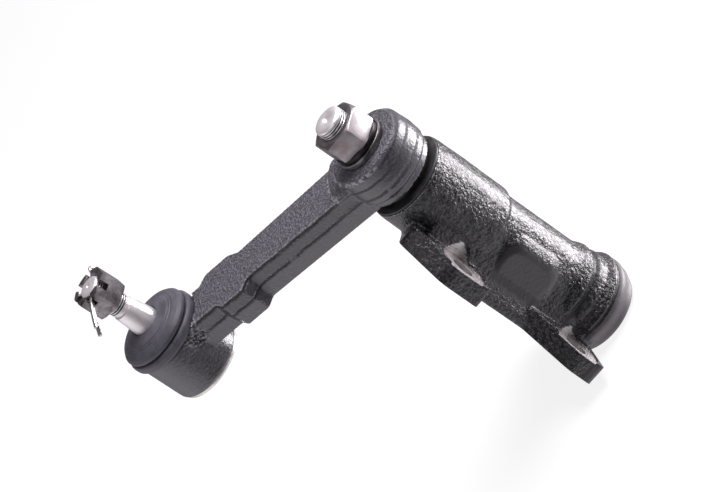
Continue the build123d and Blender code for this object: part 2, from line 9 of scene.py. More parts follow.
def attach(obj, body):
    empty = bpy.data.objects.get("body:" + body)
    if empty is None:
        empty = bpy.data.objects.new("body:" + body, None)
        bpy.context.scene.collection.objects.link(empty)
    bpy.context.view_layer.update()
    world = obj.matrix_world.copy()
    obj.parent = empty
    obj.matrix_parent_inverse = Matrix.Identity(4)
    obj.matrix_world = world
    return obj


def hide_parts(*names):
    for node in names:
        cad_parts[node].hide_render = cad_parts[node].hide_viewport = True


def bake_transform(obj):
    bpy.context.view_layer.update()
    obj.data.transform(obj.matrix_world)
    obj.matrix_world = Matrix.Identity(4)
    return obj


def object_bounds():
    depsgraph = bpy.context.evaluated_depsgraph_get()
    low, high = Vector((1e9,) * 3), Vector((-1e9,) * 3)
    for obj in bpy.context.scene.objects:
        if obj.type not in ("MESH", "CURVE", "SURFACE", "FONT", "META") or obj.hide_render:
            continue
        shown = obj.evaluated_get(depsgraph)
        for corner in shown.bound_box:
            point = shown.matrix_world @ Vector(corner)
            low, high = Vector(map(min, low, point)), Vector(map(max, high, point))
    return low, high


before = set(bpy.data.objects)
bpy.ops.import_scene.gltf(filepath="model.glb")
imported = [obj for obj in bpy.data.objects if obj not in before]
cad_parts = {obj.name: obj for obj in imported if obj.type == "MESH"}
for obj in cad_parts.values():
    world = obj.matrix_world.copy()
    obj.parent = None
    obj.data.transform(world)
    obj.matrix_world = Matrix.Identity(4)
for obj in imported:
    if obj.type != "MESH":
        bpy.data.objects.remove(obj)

cadLow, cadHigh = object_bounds()
scene = bpy.context.scene
scene.view_settings.view_transform = "Standard"
mm = 0.001

# Where the mechanism sits in the row's frame, in millimetres
layout = {
    "pivot": (0.0, 25.6, 82.5),  # middle of the tube's mouth
    "armTurn": 17.0,  # degrees the arm leans from the mounting face's normal
    "armLength": 167.2,
    "bolts": [(39, 43), (39, -43), (-39, 0)],
}
lean = math.radians(layout["armTurn"])
pivot = Vector(layout["pivot"])
alongArm = Vector((-math.sin(lean), -math.cos(lean), 0))
acrossArm = Vector((math.cos(lean), -math.sin(lean), 0))
ballPlace = pivot + alongArm * layout["armLength"]


# Places given in millimetres: from the row's origin, the tube's mouth, along the arm, and the ball joint
def onRow(x, y, z):
    return Vector((x, y, z)) * mm


# Outlines drawn on the mounting face, with the depth into the bracket last
def onFace(x, z, depth):
    return onRow(x, depth, z)


def onPivot(x, y, z):
    return (pivot + Vector((x, y, z))) * mm


def onArm(x, y, z):
    return (pivot + alongArm * x + acrossArm * y + Vector((0, 0, z))) * mm


def onBall(x, y, z):
    return (ballPlace + Vector((x, y, z))) * mm


# Corner rounding for outlines and turned profiles; a radius of 0 keeps the corner
def rounded(points, radii, steps=5, closed=True):
    if not isinstance(radii, (list, tuple)):
        radii = [radii] * len(points)
    made = []
    count = len(points)
    for i, (point, radius) in enumerate(zip(points, radii)):
        here = Vector(point)
        before = Vector(points[i - 1]) - here
        after = Vector(points[(i + 1) % count]) - here
        half = before.angle(after) / 2
        # A kept corner, an open end, or nearly straight on
        if radius <= 0 or (not closed and i in (0, count - 1)) or half > math.radians(88):
            made.append(tuple(here))
            continue
        reach = min(radius / math.tan(half), before.length * 0.48, after.length * 0.48)
        start = here + before.normalized() * reach
        end = here + after.normalized() * reach
        for k in range(steps + 1):
            t = k / steps
            made.append(tuple(start * (1 - t) ** 2 + here * 2 * t * (1 - t) + end * t * t))
    return made


# Moves every side of an outline inwards, as a forging's draft does
def inset(outline, amount):
    points = [Vector(p) for p in outline]
    area = sum(a.cross(b) for a, b in zip(points, points[1:] + points[:1]))
    side = 1 if area > 0 else -1
    made = []
    for i, here in enumerate(points):
        into = (here - points[i - 1]).normalized()
        out = (points[(i + 1) % len(points)] - here).normalized()
        normalIn = Vector((-into.y, into.x)) * side
        normalOut = Vector((-out.y, out.x)) * side
        mean = (normalIn + normalOut).normalized()
        made.append(tuple(here + mean * (amount / max(mean.dot(normalIn), 0.2))))
    return made


# A turned shape from its half section; an open section starts and ends on the axis
def turned(bm, profile, place, segments=128, closed=False):
    rings = []
    for radius, height in profile:
        spots = circleOutline(0, 0, radius, segments) if radius > 1e-6 else [(0, 0)]
        rings.append([bm.verts.new(place(x, y, height)) for x, y in spots])
    count = len(rings)
    for i in range(count if closed else count - 1):
        a, b = rings[i], rings[(i + 1) % count]
        for k in range(segments):
            m = (k + 1) % segments
            if len(a) == 1:
                bm.faces.new((a[0], b[m], b[k]))
            elif len(b) == 1:
                bm.faces.new((a[k], a[m], b[0]))
            else:
                bm.faces.new((a[k], a[m], b[m], b[k]))


# A solid through outlines at several depths, all with the same number of points
def lofted(bm, layers, place):
    rings = [[bm.verts.new(place(u, v, depth)) for u, v in outline] for outline, depth in layers]
    for a, b in zip(rings, rings[1:]):
        for k in range(len(a)):
            m = (k + 1) % len(a)
            bm.faces.new((a[k], a[m], b[m], b[k]))
    bm.faces.new(rings[0])
    bm.faces.new(rings[-1])


def circleOutline(x, y, radius, segments=96):
    angles = [2 * math.pi * k / segments for k in range(segments)]
    return [(x + radius * math.cos(a), y + radius * math.sin(a)) for a in angles]


def pieceFrom(name, bm, materials=()):
    bmesh.ops.recalc_face_normals(bm, faces=bm.faces)
    mesh = bpy.data.meshes.new(name)
    bm.to_mesh(mesh)
    bm.free()
    for material in materials:
        mesh.materials.append(material)
    piece = bpy.data.objects.new(name, mesh)
    scene.collection.objects.link(piece)
    return piece


def turnedSolid(name, profile, place, segments=128, closed=False, materials=()):
    bm = bmesh.new()
    turned(bm, profile, place, segments, closed)
    return pieceFrom(name, bm, materials)


def loftedSolid(name, layers, place, materials=()):
    bm = bmesh.new()
    lofted(bm, layers, place)
    return pieceFrom(name, bm, materials)


# Turns the modifiers' result into a plain mesh
def settle(piece):
    graph = bpy.context.evaluated_depsgraph_get()
    mesh = bpy.data.meshes.new_from_object(piece.evaluated_get(graph), depsgraph=graph)
    mesh.name = piece.name
    piece.modifiers.clear()
    piece.data = mesh
    return piece


# Grows overlapping solids into one skin, as in a casting or forging
def fuse(piece, voxel, smoothing):
    remesh = piece.modifiers.new("fuse", "REMESH")
    remesh.mode = "VOXEL"
    remesh.voxel_size = voxel * mm
    smooth = piece.modifiers.new("soften", "SMOOTH")
    smooth.factor = 0.5
    smooth.iterations = smoothing
    return settle(piece)


def cut(piece, cutters, operation="DIFFERENCE"):
    for cutter in cutters:
        step = piece.modifiers.new("cut", "BOOLEAN")
        step.operation = operation
        step.solver = "MANIFOLD"
        step.object = cutter
    settle(piece)
    for cutter in cutters:
        bpy.data.objects.remove(cutter)
    return piece


def softenEdges(piece, width):
    bevel = piece.modifiers.new("edges", "BEVEL")
    bevel.width = width * mm
    bevel.segments = 2
    bevel.limit_method = "ANGLE"
    bevel.angle_limit = math.radians(25)
    return settle(piece)


# Gives a finished piece to its body in place of its CAD nodes
def hand(piece, body, replaced, angle=32):
    piece.data.polygons.foreach_set("use_smooth", [True] * len(piece.data.polygons))
    piece.data.set_sharp_from_angle(angle=math.radians(angle))
    if body:
        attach(piece, body)
    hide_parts(*replaced)
    print(piece.name, len(piece.data.polygons), "faces")


def readAll(items, key, columns=3, kind=float):
    values = np.empty(len(items) * columns, dtype=kind)
    items.foreach_get(key, values)
    return values.reshape(-1, columns)


# Gives a mesh its finishes, and each face the index of its own
def finishFaces(mesh, finishes, index=0):
    mesh.materials.clear()
    for finish in finishes:
        mesh.materials.append(finish)
    mesh.polygons.foreach_set("material_index", np.full(len(mesh.polygons), index, dtype=np.int32))


def pointFacts(mesh):
    return readAll(mesh.vertices, "co") / mm, readAll(mesh.vertices, "normal")


def faceFacts(mesh):
    return readAll(mesh.polygons, "center") / mm, readAll(mesh.polygons, "normal")


def edgePairs(mesh):
    return readAll(mesh.edges, "vertices", 2, np.int64)


def flatDistance(places, centre):
    return np.hypot(places[:, 0] - centre[0], places[:, 1] - centre[1])


# Along and across the arm, from the pivot
def armPlaces(places):
    offset = places - np.array(layout["pivot"])
    return offset @ np.array(alongArm), offset @ np.array(acrossArm)


def bell(values, width):
    return np.exp(-(values / width) ** 2)


# Lets marked points mark their neighbours, weaker each round
def spread(values, pairs, rounds, keep):
    for step in range(rounds):
        total = values.copy()
        np.maximum.at(total, pairs[:, 0], values[pairs[:, 1]] * keep)
        np.maximum.at(total, pairs[:, 1], values[pairs[:, 0]] * keep)
        values = total
    return values


def storeNumber(mesh, name, values):
    layer = mesh.attributes.new(name, "FLOAT", "POINT")
    layer.data.foreach_set("value", np.asarray(values, dtype=np.float32))


# How far each point stands out from its neighbours, so that paint can wear thin on the housing's edges and the
# arm's edges can carry painted highlights
def ridgeValues(mesh, size):
    places, normals = pointFacts(mesh)
    pairs = edgePairs(mesh)
    total = np.zeros_like(places)
    count = np.zeros(len(places))
    for a, b in ((0, 1), (1, 0)):
        np.add.at(total, pairs[:, a], places[pairs[:, b]])
        np.add.at(count, pairs[:, a], 1)
    mean = total / np.maximum(count, 1)[:, None]
    rise = ((places - mean) * normals).sum(axis=1) / size
    even = rise.copy()
    for a, b in ((0, 1), (1, 0)):
        np.add.at(even, pairs[:, a], rise[pairs[:, b]])
    return even / (count + 1)


# Node helpers: each adds to the tree at work and gives back the new node's outputs, or the one in use
work = {"tree": None}


def add(kind, inputs=None, **settings):
    made = work["tree"].nodes.new(kind)
    for key, value in settings.items():
        setattr(made, key, value)
    for key, value in (inputs or {}).items():
        if isinstance(value, bpy.types.NodeSocket):
            work["tree"].links.new(value, made.inputs[key])
        else:
            made.inputs[key].default_value = value
    return made.outputs


def startTree(owner, empty=True):
    owner.use_nodes = True
    work["tree"] = owner.node_tree
    if empty:
        owner.node_tree.nodes.clear()


def newFinish(name, **constants):
    finish = bpy.data.materials.new(name)
    startTree(finish, False)
    shader = finish.node_tree.nodes["Principled BSDF"]
    for key, value in constants.items():
        shader.inputs[key.replace("_", " ")].default_value = value
    return finish, shader, add("ShaderNodeTexCoord")["Object"]


def grain(place, scale, detail=2.0, roughness=0.5, distortion=0.0):
    inputs = {"Vector": place, "Scale": scale, "Detail": detail, "Roughness": roughness, "Distortion": distortion}
    return add("ShaderNodeTexNoise", inputs)[0]


def sums(operation, a, b=0.0, c=None, clamp=False):
    inputs = {0: a, 1: b} if c is None else {0: a, 1: b, 2: c}
    return add("ShaderNodeMath", inputs, operation=operation, use_clamp=clamp)[0]


def product(first, *others):
    for other in others:
        first = sums("MULTIPLY", first, other)
    return first


def fade(value, low, high, toLow=0.0, toHigh=1.0):
    inputs = {"Value": value, "From Min": low, "From Max": high, "To Min": toLow, "To Max": toHigh}
    return add("ShaderNodeMapRange", inputs, interpolation_type="SMOOTHSTEP")[0]


# Patches of noise: its scale, detail and roughness, and the values where a patch begins and is full
def patches(place, look):
    return fade(grain(place, *look[:3]), *look[3:])


# Noise along one line, for marks left by turning
def rings(away, scale, detail):
    return add("ShaderNodeTexNoise", {"W": away, "Scale": scale, "Detail": detail}, noise_dimensions="1D")[0]


def vectorSum(operation, a, b):
    key = 3 if operation == "SCALE" else 1
    return add("ShaderNodeVectorMath", {0: a, key: b}, operation=operation)[0]


def measured(operation, a, b=(0, 0, 0)):
    return add("ShaderNodeVectorMath", {0: a, 1: b}, operation=operation)["Value"]


def partsOf(vector):
    return add("ShaderNodeSeparateXYZ", {"Vector": vector})


def vectorOf(x=0.0, y=0.0, z=0.0):
    return add("ShaderNodeCombineXYZ", {0: x, 1: y, 2: z})[0]


def blendColour(factor, a, b):
    colours = {key: (*value, 1) if isinstance(value, tuple) else value for key, value in ((6, a), (7, b))}
    return add("ShaderNodeMix", {0: factor, **colours}, data_type="RGBA")[2]


def bumped(height, strength, distance, after=None):
    inputs = {"Height": height, "Strength": strength, "Distance": distance * mm}
    if after is not None:
        inputs["Normal"] = after
    return add("ShaderNodeBump", inputs)[0]


def attribute(name):
    return add("ShaderNodeAttribute", attribute_name=name)["Fac"]


def connect(shader, **sources):
    for key, value in sources.items():
        work["tree"].links.new(value, shader.inputs[key.replace("_", " ")])


# Finishes: colours are linear, noise scales are grains per metre, depths are millimetres
castPaintLook = {
    "paint": (0.004, 0.004, 0.005),
    "pebbleTopLight": (0.036, 0.034, 0.039),  # painted highlight on the pebbles' tops; their hollows keep the darker paint as painted shade
    "pad": (0.040, 0.037, 0.043),
    "padCalm": -0.85,  # how much of the relief the pad loses
    "valleyShadeColour": (0.001, 0.001, 0.001),
    "bareMetal": (0.42, 0.41, 0.40),
    "pebble": (545.0, 2.5, 0.55, 0.4),
    "pebbleDepth": 1.45,
    "swell": (210.0, 2.0, 0.5, 0.2),
    "swellDepth": 1.15,
    "patch": (60.0, 3.0, 0.6),
    "rough": (0.15, 0.27),
    "flecks": (900.0, 3.0, 0.6, 0.42, 0.56),
    "chips": (330.0, 4.0, 0.65, 0.70, 0.73),
}


def makeCastPaint(look):
    finish, shader, place = newFinish("castPaint", IOR=1.56, Coat_Weight=0.3, Coat_Roughness=0.15)
    pad = attribute("groundPad")
    wear = attribute("edgeWearAndGlint")
    shade = attribute("valleyShade")
    fine = grain(place, *look["pebble"])
    patch = grain(place, *look["patch"])
    strength = product(fade(patch, 0.3, 0.7, 0.6, 1.0), sums("MULTIPLY_ADD", pad, look["padCalm"], 1.0))
    wave = bumped(grain(place, *look["swell"]), strength, look["swellDepth"])
    worn = product(fade(wear, 0.45, 0.95), patches(place, look["flecks"]))
    chips = product(patches(place, look["chips"]), fade(wear, 0.1, 0.4))
    bare = sums("MAXIMUM", worn, chips)
    # Pebble tops drawn lighter than their hollows: painted highlight and painted shade on the cast relief
    dustAndShade = blendColour(fade(fine, 0.47, 0.60), look["paint"], look["pebbleTopLight"])
    dustAndShade = blendColour(pad, dustAndShade, look["pad"])
    # Near-black painted shade in the grooves beside the rear ring
    dustAndShade = blendColour(shade, dustAndShade, look["valleyShadeColour"])
    rough = sums("MULTIPLY_ADD", shade, 0.4, fade(patch, 0.35, 0.65, *look["rough"]))
    connect(shader, Base_Color=blendColour(bare, dustAndShade, look["bareMetal"]), Roughness=rough,
            Metallic=product(bare, 0.9), Normal=bumped(fine, strength, look["pebbleDepth"], wave))
    return finish


armPaintLook = {
    # top and side are the same paint: lighter on upward faces as painted light, darker on the sides as painted
    # shade
    "top": (0.037, 0.036, 0.047),
    "side": (0.026, 0.025, 0.034),
    "cloud": (0.060, 0.057, 0.068),
    "grainLight": (0.130, 0.127, 0.158),
    "crease": (0.004, 0.004, 0.005),
    "speckAndGlint": (0.34, 0.33, 0.36),
    "grain": (700.0, 2.5, 0.6, 0.3),
    "grainDepth": 1.5,
    "swell": (300.0, 3.0, 0.55),
    "swellDepth": 0.8,
    "blotch": (95.0, 3.0, 0.6),
    "broken": (170.0, 3.0, 0.6, 0.32, 0.42),
    "specksAndGlints": (760.0, 2.0, 0.5, 0.58, 0.68),
    "torn": (420.0, 3.0, 0.6, 0.48, 0.62),
    "beadHighlight": (520.0, 2.0, 0.5, 0.44, 0.56),
    "rim": (700.0, 3.0, 0.5, 0.42, 0.58),
}


def makeArmPaint(look):
    finish, shader, place = newFinish("armPaint", IOR=1.80)
    upward = partsOf(add("ShaderNodeTexCoord")["Normal"])[2]
    topness = fade(upward, 0.55, 0.85)
    fine = grain(place, *look["grain"])
    blotch = grain(place, *look["blotch"])
    # Painted shade darkens the creases at the parting line and under the upper trim edge, broken and beaded
    crease = fade(attribute("trimCrease"), 0.14, 0.38)
    crease = product(crease, patches(place, look["broken"]))
    depth = fade(topness, 0.0, 1.0, 0.22, 1.0)
    skin = bumped(grain(place, *look["swell"]), depth, look["swellDepth"])
    skin = bumped(fine, depth, look["grainDepth"], skin)
    # Upward faces get the lighter colour: painted light on the top, painted shade on the sides
    base = blendColour(topness, look["side"], look["top"])
    base = blendColour(product(fade(blotch, 0.35, 0.7), 0.35), base, look["cloud"])
    # Lighter grain, fullest on upward faces: real grain, with painted light making it stronger on the top
    grains = product(fade(fine, 0.46, 0.60), fade(topness, 0.0, 1.0, 0.12, 1.0))
    base = blendColour(grains, base, look["grainLight"])
    # Near-black painted shade in the creases
    base = blendColour(crease, base, look["crease"])
    # Light specks: grain flecks, more on upward faces as painted light, with painted highlights on beads and raised
    # edges and flecks on the torn skin
    specksAndGlints = product(patches(place, look["specksAndGlints"]), fade(topness, 0.0, 1.0, 0.10, 0.30))
    for amount, kind in ((attribute("roughWeld"), "torn"), (attribute("trimBeadHighlight"), "beadHighlight"),
                         (fade(attribute("edgeWearAndGlint"), 0.35, 0.9), "rim")):
        specksAndGlints = sums("MAXIMUM", specksAndGlints, product(amount, patches(place, look[kind])))
    base = blendColour(specksAndGlints, base, look["speckAndGlint"])
    rough = fade(sums("ADD", topness, blotch), 0.3, 1.5, 0.27, 0.52)
    connect(shader, Base_Color=base, Normal=skin, Roughness=sums("MULTIPLY_ADD", crease, 0.4, rough))
    return finish


# Turned, plated and rolled steels: cloudy colour, fine marks round the piece's own axis
def makeSteel(name, look):
    finish, shader, place = newFinish(name, Metallic=look.get("metallic", 1.0), IOR=1.5)
    cloud = grain(place, look.get("cloud", 160.0), 4.0, 0.6, 0.5)
    fine = grain(place, 1500.0, 3.0, 0.6)
    base = blendColour(fade(cloud, 0.36, 0.64), look["dark"], look["light"])
    if "stain" in look:
        stains = patches(place, (look.get("stainScale", 240.0), 4.0, 0.65, 0.52, 0.66))
        base = blendColour(product(stains, 0.75), base, look["stain"])
    rough = fade(sums("MULTIPLY_ADD", fine, 0.35, cloud), 0.4, 1.0, *look["rough"])
    skin = bumped(fine, 0.25, 0.06)
    if "axis" in look:
        # Fine rings from the lathe
        shifted = add("ShaderNodeMapping", {"Vector": place, "Location": -look["axis"]})[0]
        radius = measured("LENGTH", vectorSum("MULTIPLY", shifted, (1, 1, 0)))
        away = sums("ADD", radius, partsOf(shifted)[2])
        skin = bumped(rings(away, 3200.0, 2.0), 0.35, 0.05, skin)
    if "groove" in look:
        # Darker in the thread's grooves: painted shade
        base = blendColour(fade(attribute("threadGroove"), 0.12, 0.55), base, look["groove"])
    connect(shader, Base_Color=base, Roughness=rough, Normal=skin)
    return finish


spotLook = {
    "light": (0.68, 0.65, 0.65),
    "dark": (0.46, 0.44, 0.43),
    "rust": (0.27, 0.23, 0.20),
    "rings": 2600.0,
    "stains": (300.0, 4.0, 0.65, 0.56, 0.68),
}


# Bare cutter marks, in rings about the nearest bolt hole
def makeSpotFace(look):
    finish, shader, place = newFinish("spotFace", Metallic=1.0)
    parts = partsOf(place)
    flatPlace = vectorOf(x=parts[0], z=parts[2])
    nearest = 1.0
    for x, z in layout["bolts"]:
        nearest = sums("MINIMUM", nearest, measured("DISTANCE", flatPlace, (x * mm, 0, z * mm)))
    ring = rings(sums("ADD", nearest, parts[1]), look["rings"], 3.0)
    base = blendColour(fade(ring, 0.38, 0.62), look["dark"], look["light"])
    base = blendColour(product(patches(place, look["stains"]), 0.6), base, look["rust"])
    connect(shader, Base_Color=base, Normal=bumped(ring, 0.5, 0.10), Roughness=fade(ring, 0.3, 0.7, 0.26, 0.42))
    return finish


rubberLooks = {
    "bootRubber": {"light": (0.096, 0.094, 0.114), "dark": (0.062, 0.062, 0.077),
                   "rough": (0.46, 0.60), "bump": 0.5},
    "ringRubber": {"light": (0.094, 0.092, 0.111), "dark": (0.060, 0.060, 0.074),
                   "rough": (0.38, 0.52), "bump": 0.3},
    "sealRubber": {"light": (0.040, 0.040, 0.041), "dark": (0.016, 0.016, 0.017),
                   "rough": (0.34, 0.50), "bump": 0.3},
}


def makeRubber(name, look):
    finish, shader, place = newFinish(name, IOR=1.5)
    cloud = grain(place, 130.0, 3.0, 0.6)
    dust = grain(place, 1300.0, 3.0, 0.65)
    dustAndShade = fade(sums("MULTIPLY_ADD", dust, 0.4, cloud), 0.5, 0.9)
    connect(shader, Base_Color=blendColour(dustAndShade, look["dark"], look["light"]),
            Roughness=fade(cloud, 0.35, 0.65, *look["rough"]),
            Normal=bumped(dust, look["bump"], 0.10, bumped(cloud, 0.3, 0.3)))
    return finish


pivotAxis = pivot * mm
ballAxis = ballPlace * mm
# groove is the painted shade colour for the thread's grooves
brightLook = {"light": (0.95, 0.92, 0.93), "dark": (0.84, 0.81, 0.82), "groove": (0.16, 0.15, 0.15),
              "rough": (0.28, 0.40), "cloud": 120.0, "metallic": 0.65}
steelLooks = {
    "nutSteel": {"light": (0.32, 0.30, 0.31), "dark": (0.24, 0.225, 0.23), "stain": (0.22, 0.165, 0.16),
                 "stainScale": 90.0, "rough": (0.32, 0.42), "cloud": 110.0, "axis": pivotAxis},
    "shaftSteel": {**brightLook, "axis": pivotAxis},
    "studSteel": {**brightLook, "axis": ballAxis},
    "washerSteel": {"light": (0.30, 0.29, 0.29), "dark": (0.13, 0.12, 0.12), "stain": (0.10, 0.09, 0.085),
                    "rough": (0.28, 0.45), "axis": pivotAxis},
    "springSteel": {"light": (0.055, 0.053, 0.055), "dark": (0.020, 0.020, 0.021), "rough": (0.30, 0.46)},
    "castleSteel": {"light": (0.30, 0.28, 0.29), "dark": (0.17, 0.155, 0.16), "stain": (0.10, 0.085, 0.085),
                    "stainScale": 140.0, "rough": (0.26, 0.38), "cloud": 120.0, "axis": ballAxis},
    "cotterWire": {"light": (0.66, 0.65, 0.64), "dark": (0.42, 0.41, 0.40), "rough": (0.26, 0.40)},
    "coverPlate": {"light": (0.90, 0.89, 0.84), "dark": (0.74, 0.73, 0.67), "rough": (0.24, 0.38),
                   "cloud": 90.0, "axis": ballAxis, "metallic": 0.55},
    "capSteel": {"light": (0.17, 0.16, 0.17), "dark": (0.13, 0.12, 0.13), "rough": (0.42, 0.55),
                 "cloud": 70.0, "axis": pivotAxis, "metallic": 0.12},
    "boreSteel": {"light": (0.45, 0.44, 0.43), "dark": (0.25, 0.24, 0.23), "rough": (0.30, 0.44),
                  "axis": pivotAxis},
    "bushBronze": {"light": (0.66, 0.48, 0.26), "dark": (0.50, 0.34, 0.17), "rough": (0.28, 0.42),
                   "axis": pivotAxis},
    "seatPlastic": {"light": (0.78, 0.76, 0.69), "dark": (0.68, 0.66, 0.60), "rough": (0.42, 0.55),
                    "axis": ballAxis, "metallic": 0.0},
}

castPaint = makeCastPaint(castPaintLook)
armPaint = makeArmPaint(armPaintLook)
spotFace = makeSpotFace(spotLook)
rubbers = {name: makeRubber(name, look) for name, look in rubberLooks.items()}
steels = {name: makeSteel(name, look) for name, look in steelLooks.items()}
print("finishes made")


# Geometry Nodes: a tree with named inputs, its last nodes, and a run of it on a piece
def newTree(name, inputs):
    tree = bpy.data.node_groups.new(name, "GeometryNodeTree")
    tree.interface.new_socket("Geometry", in_out="OUTPUT", socket_type="NodeSocketGeometry")
    for label, kind in {"Geometry": "Geometry", **inputs, "Finish": "Material"}.items():
        tree.interface.new_socket(label, in_out="INPUT", socket_type="NodeSocket" + kind)
    work["tree"] = tree
    return add("NodeGroupInput")


def closeTree(shape, finish):
    real = add("GeometryNodeRealizeInstances", {"Geometry": shape})[0]
    painted = add("GeometryNodeSetMaterial", {"Geometry": real, "Material": finish})[0]
    add("NodeGroupOutput", {"Geometry": painted})
    return work["tree"]


def runTree(piece, tree, values):
    step = piece.modifiers.new(tree.name, "NODES")
    step.node_group = tree
    for item in tree.interface.items_tree:
        if item.in_out == "INPUT" and item.name in values:
            step[item.identifier] = values[item.name]
    return settle(piece)


# Sand-cast unevenness: the skin moves along its normal by seeded noise, except where the mask holds it
def makeCastSkin():
    given = newTree("castSkin", {"Depth": "Float", "Grain": "Float", "Seed": "Int"})
    noise = add("ShaderNodeTexNoise", {"W": given["Seed"], "Scale": given["Grain"]}, noise_dimensions="4D")[0]
    held = add("GeometryNodeInputNamedAttribute", {"Name": "groundPad"})[0]
    free = sums("SUBTRACT", 1.0, held, clamp=True)
    rise = product(sums("SUBTRACT", noise, 0.5), given["Depth"], free)
    offset = vectorSum("SCALE", add("GeometryNodeInputNormal")[0], rise)
    moved = add("GeometryNodeSetPosition", {"Geometry": given["Geometry"], "Offset": offset})[0]
    return closeTree(moved, given["Finish"])


def rampUp(value, start, width):
    return sums("DIVIDE", sums("SUBTRACT", value, start), width, clamp=True)


# A helical thread cut into the turned blank between two heights
def makeThread():
    given = newTree("threadCut", {"Axis": "Vector", "Radius": "Float", "Pitch": "Float", "Depth": "Float",
                                  "Low": "Float", "High": "Float"})
    local = vectorSum("SUBTRACT", add("GeometryNodeInputPosition")[0], given["Axis"])
    x, y, z = partsOf(local)
    turn = sums("DIVIDE", sums("ARCTAN2", y, x), 2 * math.pi)
    wave = sums("PINGPONG", sums("SUBTRACT", sums("DIVIDE", z, given["Pitch"]), turn), 0.5)
    groove = sums("SUBTRACT", 1.0, product(wave, 2.6), clamp=True)
    enter = rampUp(z, given["Low"], given["Pitch"])
    leave = rampUp(product(z, -1.0), product(given["High"], -1.0), given["Pitch"])
    groove = product(groove, enter, leave)
    flatPlace = vectorSum("MULTIPLY", local, (1, 1, 0))
    outer = sums("GREATER_THAN", measured("LENGTH", flatPlace), product(given["Radius"], 0.8))
    amount = product(groove, outer, given["Depth"], -1.0)
    outward = add("ShaderNodeVectorMath", {0: flatPlace}, operation="NORMALIZE")[0]
    marked = add("GeometryNodeStoreNamedAttribute",
                 {"Geometry": given["Geometry"], "Name": "threadGroove", "Value": groove},
                 data_type="FLOAT", domain="POINT")[0]
    moved = add("GeometryNodeSetPosition", {"Geometry": marked, "Offset": vectorSum("SCALE", outward, amount)})[0]
    return closeTree(moved, given["Finish"])


# Radial slots through a castle nut's crown: bars on a ring of points, taken away from the nut
def makeSlots():
    given = newTree("castleSlots", {"Axis": "Vector", "Count": "Int", "Width": "Float", "Depth": "Float",
                                    "Reach": "Float", "Turn": "Float"})
    ring = add("GeometryNodeMeshCircle", {"Vertices": given["Count"], "Radius": product(given["Reach"], 0.5)})[0]
    size = vectorOf(given["Reach"], given["Width"], given["Depth"])
    bar = add("GeometryNodeMeshCube", {"Size": size})[0]
    share = sums("DIVIDE", add("GeometryNodeInputIndex")[0], given["Count"])
    turn = vectorOf(z=product(share, 2 * math.pi))
    bars = add("GeometryNodeInstanceOnPoints", {"Points": ring, "Instance": bar, "Rotation": turn})[0]
    real = add("GeometryNodeRealizeInstances", {"Geometry": bars})[0]
    turn = vectorOf(z=given["Turn"])
    placed = add("GeometryNodeTransform", {"Geometry": real, "Translation": given["Axis"], "Rotation": turn})[0]
    left = add("GeometryNodeMeshBoolean", {"Mesh 1": given["Geometry"], "Mesh 2": placed},
               operation="DIFFERENCE", solver="EXACT")[0]
    return closeTree(left, given["Finish"])


castSkin = makeCastSkin()
threadCut = makeThread()
castleSlots = makeSlots()
print("node trees made")


def castRough(piece, s, finish):
    values = {"Depth": s["skinDepth"] * mm, "Grain": s["skinGrain"], "Seed": s["seed"], "Finish": finish}
    return runTree(piece, castSkin, values)


# Bracket housing: one casting, then milled, faced and bored
housing = {
    "voxel": 0.8,
    "softening": 2,
    "skinDepth": 0.34,
    "skinGrain": 230.0,
    "seed": 7,
    "tube": [(0, 1.2), (24.5, 1.2), (25.0, -3), (25.3, -20), (25.0, -52.5), (23.1, -55.0), (23.2, -107),
             (23.7, -110), (25.0, -113.5), (25.6, -116), (25.2, -117.4), (23.7, -118.5), (23.7, -120.3),
             (25.3, -121.8), (25.9, -124.2), (25.6, -126.6), (26.2, -128.2), (27.7, -130), (28.7, -132),
             (28.4, -133.1), (26.9, -133.9), (26.9, -135.2), (28.3, -136.3), (28.7, -137.4), (28.3, -139.5),
             (27.5, -141.8), (27.2, -144.7), (0, -144.7)],
    "base": [(-31.5, 0), (31.5, 0), (31.5, 5), (26.6, 12), (24.4, 21), (23.2, 29.6),
             (-23.2, 29.6), (-24.4, 21), (-26.6, 12), (-31.5, 5)],
    "baseLow": -59.5,
    "baseHigh": 63.5,
    # Each ear's outline on the mounting face and its corners' radii
    "ears": [
        ([(0, 62.5), (28, 75.5), (49.6, 53), (50.5, 27), (0, 27)], [0, 5, 15, 2.5, 0]),
        ([(0, -23.5), (28, -10.5), (49.6, -42), (50.5, -59), (0, -59)], [0, 5, 15, 2.5, 0]),
        ([(0, 28), (-28, 24), (-50.3, 10), (-50.3, -10), (-28, -24), (0, -28)], [0, 6, 8, 8, 6, 0]),
    ],
    "earRaw": 12.2,  # as cast
    "ear": 11.0,  # under the spot faces
    "spot": 14.6,
    "spotTop": 19.5,
    "hole": 6.5,
    "pad": (23.1, 2.0, 24.0, 38.0),  # middle along Y and Z, width, length
    "padCorner": 11,
    "padSteps": [(-5.0, 19.5), (-2.0, 23.2), (0.6, 24.9), (3.0, 25.5)],
    "slab": [(-70, -90), (70, -90), (70, 100), (-70, 100)],
    "faced": [(0, 9), (-150, -143.5)],  # heights cut off at the tube's two ends
    "bore": [(0, 3), (20.3, 3), (20.3, 0.8), (19.5, 0), (19.5, -6), (15, -6), (15, -38), (16.2, -39),
             (16.2, -102), (15, -103), (15, -135), (20, -135), (20, -146), (0, -146)],
    "capSeat": (24.0, 29.5),  # radii of the tube's turned end
    "tongues": (8.6, 4.2, 7.0),  # how high each spot face's wall is bare
    "shadedValleys": [(-119.4, 2.0), (-134.5, 1.7)],  # painted shade in the grooves before and behind the rear ring
    "turnedEnd": -135.6,  # behind this the tube is turned smooth, like its cap
}


